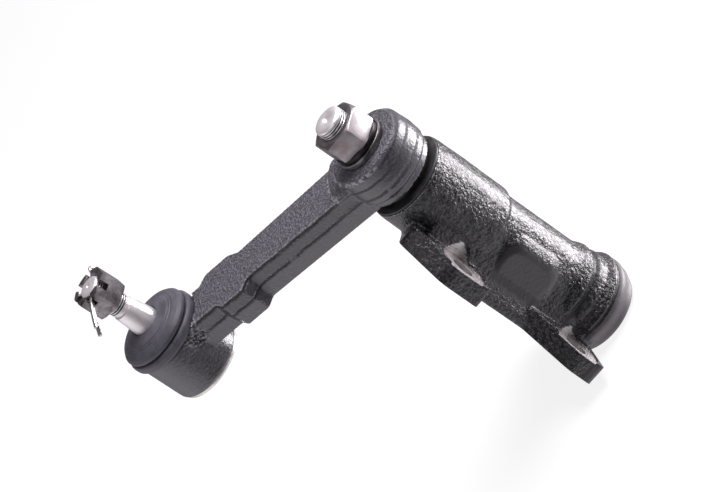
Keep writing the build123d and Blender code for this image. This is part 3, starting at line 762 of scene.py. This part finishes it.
def makeHousing(s):
    bm = bmesh.new()
    turned(bm, s["tube"], onPivot)
    lofted(bm, [(s["base"], s["baseLow"]), (s["base"], s["baseHigh"])], onRow)
    for outline, radii in s["ears"]:
        outline = rounded(outline, radii, 8)
        lofted(bm, [(outline, -1), (outline, s["earRaw"])], onFace)
    y, z, width, length = s["pad"]
    corners = [(y + a * width / 2, z + b * length / 2) for a, b in ((-1, -1), (1, -1), (1, 1), (-1, 1))]
    pad = rounded(corners, s["padCorner"], 8)
    lofted(bm, [(inset(pad, amount), high) for amount, high in s["padSteps"]], lambda u, v, w: onRow(w, u, v))
    piece = fuse(pieceFrom("castHousing", bm), s["voxel"], s["softening"])
    places = pointFacts(piece.data)[0]
    inside = (np.abs(places[:, 1] - y) < width / 2 - 1.0) & (np.abs(places[:, 2] - z) < length / 2 - 1.5)
    inside = inside & (places[:, 0] > 24.4) | (places[:, 2] < pivot.z + s["turnedEnd"])
    storeNumber(piece.data, "groundPad", spread(inside.astype(float), edgePairs(piece.data), 5, 0.78))
    castRough(piece, s, castPaint)
    # Machining: mounting face, the tube's ends, spot faces, bolt holes, bore
    cutters = [loftedSolid("millSlab", [(s["slab"], -6), (s["slab"], 0)], onFace)]
    for low, high in s["faced"]:
        cutters.append(turnedSolid("faceSlab", [(0, low), (60, low), (60, high), (0, high)], onPivot, 48))
    holes = (("spotCutters", s["spot"], 96, np.linspace(s["ear"], s["spotTop"], 16)),
             ("holeCutters", s["hole"], 64, (-3, 24)))
    for name, radius, segments, steps in holes:
        bm = bmesh.new()
        for x, z in layout["bolts"]:
            lofted(bm, [(circleOutline(x, z, radius, segments), depth) for depth in steps], onFace)
        cutters.append(pieceFrom(name, bm))
    cutters.append(turnedSolid("boreCutter", s["bore"], onPivot))
    cut(piece, cutters)
    mesh = piece.data
    centres, normals = faceFacts(mesh)
    high = centres[:, 2] - pivot.z
    rise = centres[:, 1] - s["ear"]
    toBolts = [np.hypot(centres[:, 0] - x, centres[:, 2] - z) for x, z in layout["bolts"]]
    toBolt = np.min(toBolts, axis=0)
    toPivot = flatDistance(centres, pivot)
    spotFloor = (normals[:, 1] > 0.98) & (np.abs(rise) < 0.06)
    bare = (toBolt < s["spot"] + 0.1) & (rise > -0.1) & (spotFloor | (np.abs(toBolt - s["spot"]) < 0.12))
    bare |= np.abs(toBolt - s["hole"]) < 0.1
    # The cutter's wall went through the skin only in a tongue beside each ear
    for (x, z), away, tongue in zip(layout["bolts"], toBolts, s["tongues"]):
        wall = (np.abs(away - s["spot"]) < 0.12) & (rise > 0.08)
        bare &= ~(wall & (rise > tongue - 0.95 * np.abs(centres[:, 2] - z - 1.0)))
    end = (high < s["turnedEnd"]) & (toPivot > s["capSeat"][0]) & (toPivot < s["capSeat"][1])
    index = np.where(toPivot < 20.6, 2, np.where(bare, 1, np.where(end, 3, 0)))
    finishFaces(mesh, [castPaint, spotFace, steels["boreSteel"], steels["capSteel"]], index)
    # The paint's edge is worn where a cutter has met the casting
    cast, other = np.zeros((2, len(mesh.vertices)), dtype=bool)
    machined = (index == 1) | (index == 2) | ((np.abs(high) < 0.05) & (normals[:, 2] > 0.9))
    for polygon, isBare in zip(mesh.polygons, machined):
        (other if isBare else cast)[list(polygon.vertices)] = True
    worn = spread((cast & other).astype(float), edgePairs(mesh), 1, 0.55)
    ridge = np.clip(ridgeValues(mesh, s["voxel"]) * 2.2, 0, 1) * 0.3
    storeNumber(mesh, "edgeWearAndGlint", np.maximum(worn, ridge))
    # Painted shade: a dark band round each groove by the rear ring
    high = pointFacts(mesh)[0][:, 2] - pivot.z
    storeNumber(mesh, "valleyShade", np.max([bell(high - z, width) for z, width in s["shadedValleys"]], axis=0))
    return piece


hand(makeHousing(housing), "bracket", ["bracket_housing"], 38)

# End cap and seal
capShape = {
    "profile": [(0, -149.05), (22.1, -148.45), (25.45, -148.45), (25.45, -143.65), (20.0, -143.65),
                (20.0, -138.5), (17.6, -138.5), (17.6, -146.1), (0, -146.1)],
    "rounding": [0, 2, 3.3, 0.5, 0.4, 0.4, 0.4, 1, 0],
}
sealShape = {
    "profile": [(15.3, -3.6), (19.5, -3.6), (19.5, 0.05), (24.2, 0.05), (24.0, 1.3), (21.6, 1.75), (19.4, 1.75),
                (18.0, 2.1), (17.4, 2.6), (18.2, 3.1), (17.4, 3.7), (18.1, 4.2), (17.3, 4.8), (16.9, 5.4),
                (15.3, 5.4)],
    "rounding": [0.2, 0, 0, 0.3, 0.5, 0.5, 0.5, 0.3, 0.3, 0.4, 0.3, 0.4, 0.3, 0.5, 0.3],
}


def turnedPiece(name, shape, place, finish, closed=True):
    profile = rounded(shape["profile"], shape["rounding"], 4, closed)
    return turnedSolid(name, profile, place, 144, closed, [finish])


hand(turnedPiece("pressedCap", capShape, onPivot, steels["capSteel"], False), "bracket", ["end_cap"])
seal = turnedPiece("ridgedSeal", sealShape, onPivot, rubbers["sealRubber"])
hand(seal, "bracket", ["dust_seal"])

# Forged arm: heights are from the tube's mouth
forging = {
    "voxel": 0.72,
    "softening": 2,
    "skinDepth": 0.12,
    "skinGrain": 420.0,
    "seed": 11,
    "creases": [(15.5, 0.85, 0.9), (23.4, 0.65, 0.7)],  # height, half width, depth
    "outline": [(12.4, -16.5), (104.7, -13.8), (113.7, -18.4), (132.2, -18.4), (137.4, -13.2), (167.2, -13.2),
                (167.2, 14.4), (125.1, 14.4), (119.7, 19.8), (102.7, 19.8), (98.7, 13.8), (12.4, 16.5)],
    "barLow": 4.2,
    "parting": 16.0,
    "barHigh": 24.8,
    "draft": 5.0,
    "flash": [(-0.1, -0.6), (-0.5, 0), (-0.1, 0.6)],  # inset and height, thin along the parting line
    "eye": [(0, 6), (22.5, 6), (22.8, 10.2), (24.1, 11), (24.8, 18), (24.2, 28.9), (22.2, 31.5), (0, 31.5)],
    "ramp": [(0, -15.9), (27, -15.9), (30, -11.5), (31.8, -6), (32.4, 0), (31.8, 6), (30, 11.5), (27, 15.9),
             (0, 15.9)],
    "rampSteps": [(0, -1), (4.0, 5.1)],  # inset and height over the bar
    "rampFoot": [(-1.2, -1.5), (-1.2, 1.0), (-0.48, 2.0), (1.2, 2.0)],  # flash round it
    "socket": [(0, -6.8), (23.6, -6.8), (24.2, -6.0), (24.2, -3.8), (23.7, 17), (23.5, 22.4), (23.0, 23),
               (19.4, 23), (19.4, 27.6), (0, 27.6)],
    "eyeBores": [[(0, 2), (19.5, 2), (19.5, 6), (0, 6)], [(0, 5), (11.294, 5.5), (9.64, 32.5), (0, 32.5)]],
    "socketBore": [(0, -7.8), (19.8, -7.8), (19.8, -4.4), (18.2, -4.4), (18.2, 20.6), (12.24, 20.6),
                   (14.84, 28.6), (0, 28.6)],
    "shoulder": [(19.45, 23.0), (26.5, 23.0), (26.5, 34), (19.45, 34)],
    "rim": 23.5,  # radius of the light rim round the eye's top
}


# How clearly each point shows a crease left by the trimming dies, and how deep it is cut
def trimCreases(places, normals, s):
    along = armPlaces(places)[0]
    wander = 0.16 * np.sin(along * 0.23) + 0.12 * np.sin(along * 0.61 + 1.0) + 0.08 * np.sin(along * 1.9)
    clear = np.clip((flatDistance(places, ballPlace) - 25.0) / 3.0, 0, 1)
    upright = np.clip((0.7 - np.abs(normals[:, 2])) / 0.3, 0, 1) * clear
    high = places[:, 2] - pivot.z - wander
    fields = [bell(high - height, width) * upright for height, width, depth in s["creases"]]
    shallow = np.clip((along - 24.0) / 14.0, 0.12, 1)
    return np.max(fields, axis=0), shallow * sum(field * c[2] for field, c in zip(fields, s["creases"]))


# Distance from the ramp's outline, seen from above
def fromRamp(places, outline):
    spots = np.stack(armPlaces(places), axis=1)
    nearest = np.full(len(spots), 1e3)
    for a, b in zip(np.array(outline[1:-2]), np.array(outline[2:-1])):
        share = np.clip(((spots - a) @ (b - a)) / ((b - a) @ (b - a)), 0, 1)[:, None]
        nearest = np.minimum(nearest, np.linalg.norm(spots - a - share * (b - a), axis=1))
    return nearest


# Where the neck runs into the socket the die left a rough, torn skin
def roughWeld(places):
    along, across = armPlaces(places)
    along = along - layout["armLength"]
    near = np.clip(1 - np.abs(np.hypot(along, across) - 25.5) / 4.5, 0, 1)
    near = near * np.clip(1 - np.abs(across - 13.0) / 9.0, 0, 1)
    return np.clip(2.2 * near * (along < 0) * np.clip((places[:, 2] - 93) / 4, 0, 1), 0, 1)


def makeArm(s):
    bm = bmesh.new()
    low, parting, high = s["barLow"], s["parting"], s["barHigh"]
    tilt = math.tan(math.radians(s["draft"]))
    body = [((parting - low) * tilt, low - parting), (0, 0), ((high - parting) * tilt, high - parting)]
    for outline, start, steps in ((s["outline"], parting, body), (s["outline"], parting, s["flash"]),
                                  (s["ramp"], high, s["rampSteps"]), (s["ramp"], high, s["rampFoot"])):
        lofted(bm, [(inset(outline, amount), start + rise) for amount, rise in steps], onArm)
    turned(bm, s["eye"], onPivot)
    turned(bm, s["socket"], onBall)
    piece = fuse(pieceFrom("forgedArm", bm), s["voxel"], s["softening"])
    castRough(piece, s, armPaint)
    mesh = piece.data
    places, normals = pointFacts(mesh)
    waves = [np.sin(places @ way) for way in ((1.9, 0.4, 0.7), (-0.5, 2.1, 0.9), (0.3, -0.8, 2.2))]
    ripple = np.prod(waves, axis=0)
    drop = trimCreases(places, normals, s)[1] + roughWeld(places) * 1.1 * ripple
    mesh.vertices.foreach_set("co", ((places - normals * drop[:, None]) * mm).ravel())
    cutters = [turnedSolid("eyeCutter", profile, onPivot) for profile in s["eyeBores"]]
    cutters.append(turnedSolid("socketCutter", s["socketBore"], onBall))
    cutters.append(turnedSolid("shoulderCutter", s["shoulder"], onBall, 128, True))
    cut(piece, cutters)
    mesh = piece.data
    centres, normals = faceFacts(mesh)
    inside = (flatDistance(centres, pivot) < 11.5) & (np.abs(normals[:, 2]) < 0.5)
    finishFaces(mesh, [armPaint, steels["boreSteel"]], inside | (flatDistance(centres, ballPlace) < 19.0))
    places, normals = pointFacts(mesh)
    # Raised edges on the arm: painted highlights
    storeNumber(mesh, "edgeWearAndGlint", np.clip(ridgeValues(mesh, s["voxel"]) * 7.0, 0, 1))
    storeNumber(mesh, "trimCrease", trimCreases(places, normals, s)[0])
    storeNumber(mesh, "roughWeld", roughWeld(places))
    # Painted highlights: light beads on the bar's upper edge, the ramp's foot and the eye's rim
    rise = places[:, 2] - pivot.z - high
    edge = 0.5 * bell(rise + 0.35, 0.55) * (normals[:, 2] > 0.2) * (normals[:, 2] < 0.96)
    foot = bell(fromRamp(places, s["ramp"]) - 0.3, 0.9) * (rise > 0.2) * (rise < 3.5)
    rim = bell(flatDistance(places, pivot) - s["rim"], 0.6) * (rise > 3.6)
    rim = rim * np.clip((armPlaces(places)[0] + 12) / 20, 0, 0.75)
    storeNumber(mesh, "trimBeadHighlight", np.clip(2.2 * np.max([edge, foot, rim], axis=0), 0, 1))
    return piece


hand(makeArm(forging), "arm", ["idler_arm"], 38)

# Pivot shaft and ball stud with their threads, cotter pin, washers and nuts
shaftShape = {
    "profile": [(0, -142.5), (11, -142.5), (12, -141.5), (12, -139.5), (11, -139.5), (11, -137.6), (12, -137.6),
                (12, -4.0), (15, -4.0), (15, 6.0), (11.29, 6.0), (9.7, 31.5), (9.0, 31.5)],
    "end": [(9.0, 56.0), (8.5, 56.9), (7.4, 57.55), (5.0, 57.7), (2.6, 57.65), (1.6, 57.0), (0.8, 56.1), (0, 55.9)],
    "radius": 9.0,
    "pitch": 1.5,
    "depth": 0.85,
    "low": 33.0,
    "high": 56.2,
}
studShape = {
    "profile": [(0, -0.5), (7.35, -0.5)],
    "ball": 14.5,
    "neck": [(7.8, 24.22), (7.8, 28.22), (8.6, 33.22), (8.6, 38.2), (7.35, 53.2), (6.4, 53.8), (6.4, 54.8),
             (7.0, 55.4)],
    "end": [(7.0, 76.6), (6.6, 77.3), (5.8, 77.85), (4.6, 78.0), (1.6, 78.0), (0.9, 77.4), (0, 77.2)],
    "radius": 7.0,
    "pitch": 1.5,
    "depth": 0.8,
    "low": 55.2,
    "high": 76.8,
}


# Many close rings under the thread hold its helix
def threadedPiece(name, profile, s, place, finish, rounding):
    start = profile[-1][1]
    rows = int((s["high"] - start) / (s["pitch"] / 8))
    heights = [start + (s["high"] - start) * k / rows for k in range(1, rows + 1)]
    blank = [(s["radius"], height) for height in heights if height < s["end"][0][1] - 0.1]
    profile = rounded(profile, rounding, 3, False) + blank + s["end"]
    piece = turnedSolid(name, profile, place, 96, False, [finish])
    lengths = {key.title(): s[key] * mm for key in ("radius", "pitch", "depth", "low", "high")}
    return runTree(piece, threadCut, {"Axis": place(0, 0, 0), "Finish": finish, **lengths})


shaft = threadedPiece("threadedShaft", shaftShape["profile"], shaftShape, onPivot, steels["shaftSteel"], 0.3)
hand(shaft, "arm", ["pivot_shaft"], 40)

turns = [math.radians(angle) for angle in range(-54, 58, 4)]
ball = [(studShape["ball"] * math.cos(turn), 12 + studShape["ball"] * math.sin(turn)) for turn in turns]
profile = studShape["profile"] + ball + studShape["neck"]
stud = threadedPiece("threadedStud", profile, studShape, onBall, steels["studSteel"], 0)

cotterShape = {
    "line": 74.8,  # its height over the ball's place
    "hole": 1.8,
    "radius": 1.45,
    "apart": 0.06,  # half the gap between its legs
    "eyePlace": -14.6,
    "eyeRadius": 2.3,
    "eyeWire": 0.9,
    "bend": 12.0,
    "sag": 1.4,  # how the legs' drop grows behind the bend
    # each leg's length, how far its end drops, and which half of the wire it is
    "legs": [(29.0, -4.0, 1), (32.8, -6.0, -1)],
    "voxel": 0.24,
}


def onPin(u, v, w):
    return (ballPlace + alongArm * u + acrossArm * w + Vector((0, 0, cotterShape["line"] + v))) * mm


pinHole = circleOutline(0, 0, cotterShape["hole"], 32)
cut(stud, [loftedSolid("cotterCutter", [(pinHole, -20), (pinHole, 20)], onPin)])
hand(stud, "stud", ["ball_stud"], 40)


# An eye and two half-round legs that droop outside the nut
def makeCotter(s):
    bm = bmesh.new()
    start, radius, apart = s["eyePlace"] + s["eyeRadius"], s["radius"], s["apart"]
    arc = [math.pi * j / 12 for j in range(13)]
    for length, drop, side in s["legs"]:
        layers = []
        for k in range(29):
            reach = start + (length - start) * k / 28
            low = drop * max(0.0, (reach - s["bend"]) / (length - s["bend"])) ** s["sag"]
            half = [(radius * math.cos(a), low + side * (apart + (radius - apart) * math.sin(a))) for a in arc]
            layers.append((half, reach))
        lofted(bm, layers, onPin)
    turned(bm, circleOutline(s["eyeRadius"], 0, s["eyeWire"], 24),
           lambda x, y, z: onPin(z, y, s["eyePlace"] + x), 48, True)
    piece = fuse(pieceFrom("cotterWire", bm), s["voxel"], 1)
    finishFaces(piece.data, [steels["cotterWire"]])
    return piece


hand(makeCotter(cotterShape), "stud", ["cotter_pin"], 40)

plainShape = {
    "profile": [(9.4, 31.55), (15.5, 31.55), (15.5, 35.0), (9.4, 35.0)],
    "rounding": [0.3, 0.5, 0.7, 0.3],
}
splitShape = {
    "profile": [(9.5, 35.05), (14.3, 35.05), (14.3, 37.95), (9.5, 37.95)],
    "rounding": [0.3, 0.4, 0.4, 0.3],
    "gap": [(-0.8, 8), (0.8, 8), (2.6, 17), (1.0, 17)],
}
nutShape = {"flats": 27.0, "turn": 5.0, "low": 38.0, "high": 52.0, "topCut": 2.6, "lowCut": 1.2, "hole": 9.05}
castleShape = {
    "flats": 22.0, "turn": 0.0, "low": 62.0, "high": 78.0, "topCut": 1.6, "lowCut": 1.2, "hole": 7.05,
    "slot": 4.0, "slotDepth": 6.0,
}
hand(turnedPiece("flatWasher", plainShape, onPivot, steels["washerSteel"]), "arm", ["plain_washer"])

split = turnedPiece("splitWasher", splitShape, onPivot, steels["springSteel"])
cut(split, [loftedSolid("splitCutter", [(splitShape["gap"], 34), (splitShape["gap"], 39)], onPivot)])
hand(split, "arm", ["spring_washer"])


# A nut is a hexagon cut back by two cones, with a chamfered hole
def makeNut(name, s, place, finish):
    corner, low, high, hole = s["flats"] / math.sqrt(3), s["low"], s["high"], s["hole"]
    turns = [math.radians(s["turn"] + 60 * k) for k in range(6)]
    corners = [alongArm * (corner * math.cos(a)) + acrossArm * (corner * math.sin(a)) for a in turns]
    outline = [(spot.x, spot.y) for spot in corners]
    nut = loftedSolid(name, [(outline, low), (outline, high)], place, [finish])
    slope, wide = math.tan(math.radians(30)), corner + 0.1
    cone = [(0, low), (corner - s["lowCut"], low), (wide, low + s["lowCut"] * slope),
            (wide, high - s["topCut"] * slope), (corner - s["topCut"], high), (0, high)]
    cut(nut, [turnedSolid("cone", cone, place, 144)], "INTERSECT")
    drill = [(0, low - 1), (hole + 1, low - 0.3), (hole, low + 0.8), (hole, high - 0.9),
             (hole + 1.3, high + 0.4), (0, high + 1)]
    return cut(nut, [turnedSolid("drill", drill, place, 96)])


nut = softenEdges(makeNut("hexNut", nutShape, onPivot, steels["nutSteel"]), 0.28)
hand(nut, "arm", ["pivot_nut"], 30)

castle = makeNut("slottedNut", castleShape, onBall, steels["castleSteel"])
runTree(castle, castleSlots, {
    "Axis": onBall(0, 0, castleShape["high"]), "Count": 6, "Width": castleShape["slot"] * mm,
    "Depth": 2 * castleShape["slotDepth"] * mm, "Reach": castleShape["flats"] * mm, "Turn": -lean,
    "Finish": steels["castleSteel"],
})
hand(castle, "stud", ["castle_nut"], 30)

# Socket cover, boot ring and dust boot
coverShape = {
    "profile": [(0, -4.4), (19.8, -4.4), (19.8, -6.85), (23.2, -6.85), (23.2, -9.2), (15.0, -9.2), (13.0, -8.0),
                (0, -8.0)],
    "rounding": [0, 0.2, 0.2, 0.3, 1.1, 1.0, 1.0, 0],
}
ringShape = {
    "profile": [(22.0, 23.05), (24.8, 23.05), (25.5, 24.4), (25.5, 27.2), (24.6, 28.8), (22.0, 28.8)],
    "rounding": [0.3, 1.0, 1.2, 1.4, 1.0, 0.5],
}
bootShape = {
    "profile": [(9.8, 38.2), (8.95, 37.4), (8.95, 36.2), (14.5, 35.2), (19.0, 33.0), (19.8, 30.3), (19.8, 23.3),
                (21.7, 23.3), (21.7, 29.1), (23.2, 29.15), (24.2, 30.4), (24.2, 32.0), (22.6, 33.8), (19.6, 35.2),
                (18.4, 35.35), (17.9, 35.8), (16.9, 36.0), (16.6, 36.5), (15.6, 36.9), (12.6, 37.5), (11.2, 37.9)],
    "rounding": [0.5, 0.4, 0.5, 1.0, 1.0, 0.8, 0.3, 0.3, 0.4, 0.8, 1.0, 1.0, 1.5, 0.6, 0.3, 0.3, 0.3, 0.3, 0.5,
                 0.8, 0.5],
}
cover = turnedPiece("rolledCover", coverShape, onBall, steels["coverPlate"], False)
hand(cover, "arm", ["socket_cover"])
hand(turnedPiece("clampRing", ringShape, onBall, rubbers["ringRubber"]), "arm", ["boot_ring"])
boot = turnedPiece("mouldedBoot", bootShape, onBall, rubbers["bootRubber"])
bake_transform(boot)
hand(boot, None, ["dust_boot"], 40)

# Hidden pieces keep their own shape
keptFinishes = {
    "upper_bush": "bushBronze", "lower_bush": "bushBronze", "thrust_washer": "washerSteel",
    "retaining_ring": "springSteel", "pressure_cup": "seatPlastic", "ball_seat": "seatPlastic",
    "preload_spring": "springSteel",
}
for name, finish in keptFinishes.items():
    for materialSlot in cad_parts[name].material_slots:
        materialSlot.material = steels[finish]
print("pieces made")

# Camera, light and floor
cameraLook = {
    "place": (1.1300, 0.2519, 0.7105),
    "right": (0.255, 0.6374, -0.7271),
    "up": (-0.4545, 0.7427, 0.4917),
    "lens": 124.97,
}
floorLook = {"reach": 3.0, "below": 0.0006, "glow": 0.80, "matte": (0.32, 0.32, 0.32, 1)}
imageRight = Vector(cameraLook["right"]).normalized()
toCamera = imageRight.cross(Vector(cameraLook["up"])).normalized()
imageUp = toCamera.cross(imageRight)
studio = {
    "middle": (0.0, -0.04, 0.05),
    "surround": 1.0,  # to the sides, above and below
    "behind": 0.34,
    "cameraSide": 0.08,
    "leftAbove": 0.16,
    "topGlow": 0.16,
    "lowGlow": 0.07,
    "shadedSide": (-0.83, 0.55),  # image right, image up
    "tint": (1.0, 0.965, 1.01, 1),
    "lampColour": (1.0, 0.95, 1.0),
    "lamps": [
        # name, direction as image right, image up, towards the camera; distance, width, height, power
        ("tubeSoft", (0.80, 0.53, -0.27), 0.9, 0.46, 0.50, 10.5),
        ("highSoft", (-0.30, 0.90, 0.35), 1.1, 0.80, 0.50, 13.0),
        ("frontFill", (-0.55, 0.10, 0.80), 1.4, 0.90, 0.70, 2.0),
    ],
}


def makeCamera(look):
    data = bpy.data.cameras.new("photoCamera")
    data.lens = look["lens"]
    data.sensor_width = 36
    data.clip_start = 0.05
    data.clip_end = 20
    camera = bpy.data.objects.new("photoCamera", data)
    scene.collection.objects.link(camera)
    turn = Matrix((imageRight, imageUp, toCamera)).transposed().to_4x4()
    camera.matrix_world = Matrix.Translation(look["place"]) @ turn
    scene.camera = camera


def makeWorld(look):
    world = bpy.data.worlds.new("studio")
    scene.world = world
    startTree(world)
    direction = add("ShaderNodeTexCoord")["Generated"]
    right, up = look["shadedSide"]
    sides = (toCamera, imageUp, (imageUp * up + imageRight * right).normalized())
    front, high, left = [measured("DOT_PRODUCT", direction, tuple(side)) for side in sides]
    level = product(fade(front, 0.22, 0.74, 1.0, look["cameraSide"]),
                    fade(front, -0.95, -0.30, look["behind"], look["surround"]),
                    fade(left, 0.25, 0.85, 1.0, look["leftAbove"]))
    level = sums("ADD", level, fade(high, -0.75, -0.20, look["lowGlow"], 0.0))
    level = sums("ADD", level, fade(high, 0.2, 0.9, 0.0, look["topGlow"]))
    around = add("ShaderNodeBackground", {"Color": look["tint"], "Strength": level})[0]
    white = add("ShaderNodeBackground", {"Color": (1, 1, 1, 1), "Strength": 1.0})[0]
    seen = add("ShaderNodeLightPath")["Is Camera Ray"]
    mix = add("ShaderNodeMixShader", {0: seen, 1: around, 2: white})[0]
    add("ShaderNodeOutputWorld", {"Surface": mix})


def makeLamps(look):
    for name, (right, up, front), distance, width, height, power in look["lamps"]:
        data = bpy.data.lights.new(name, "AREA")
        data.shape = "RECTANGLE"
        data.size = width
        data.size_y = height
        data.energy = power
        data.color = look["lampColour"]
        lamp = bpy.data.objects.new(name, data)
        scene.collection.objects.link(lamp)
        away = (imageRight * right + imageUp * up + toCamera * front).normalized()
        lamp.location = Vector(look["middle"]) + away * distance
        lamp.rotation_euler = away.to_track_quat("Z", "Y").to_euler()
        lamp.visible_camera = False


def makeFloor(look, low):
    bm = bmesh.new()
    corners = [(-1, -1), (1, -1), (1, 1), (-1, 1)]
    bm.faces.new([bm.verts.new((x * look["reach"], y * look["reach"], low - look["below"])) for x, y in corners])
    finish = bpy.data.materials.new("paleFloor")
    startTree(finish)
    glow = add("ShaderNodeEmission", {"Color": (1, 1, 1, 1), "Strength": look["glow"]})[0]
    matte = add("ShaderNodeBsdfDiffuse", {"Color": look["matte"]})[0]
    both = add("ShaderNodeAddShader", {0: glow, 1: matte})[0]
    add("ShaderNodeOutputMaterial", {"Surface": both})
    floor = pieceFrom("floor", bm, [finish])
    for kind in ("diffuse", "glossy", "transmission", "shadow"):
        setattr(floor, "visible_" + kind, False)


makeCamera(cameraLook)
makeWorld(studio)
makeLamps(studio)
makeFloor(floorLook, cadLow[2])
print("studio set")
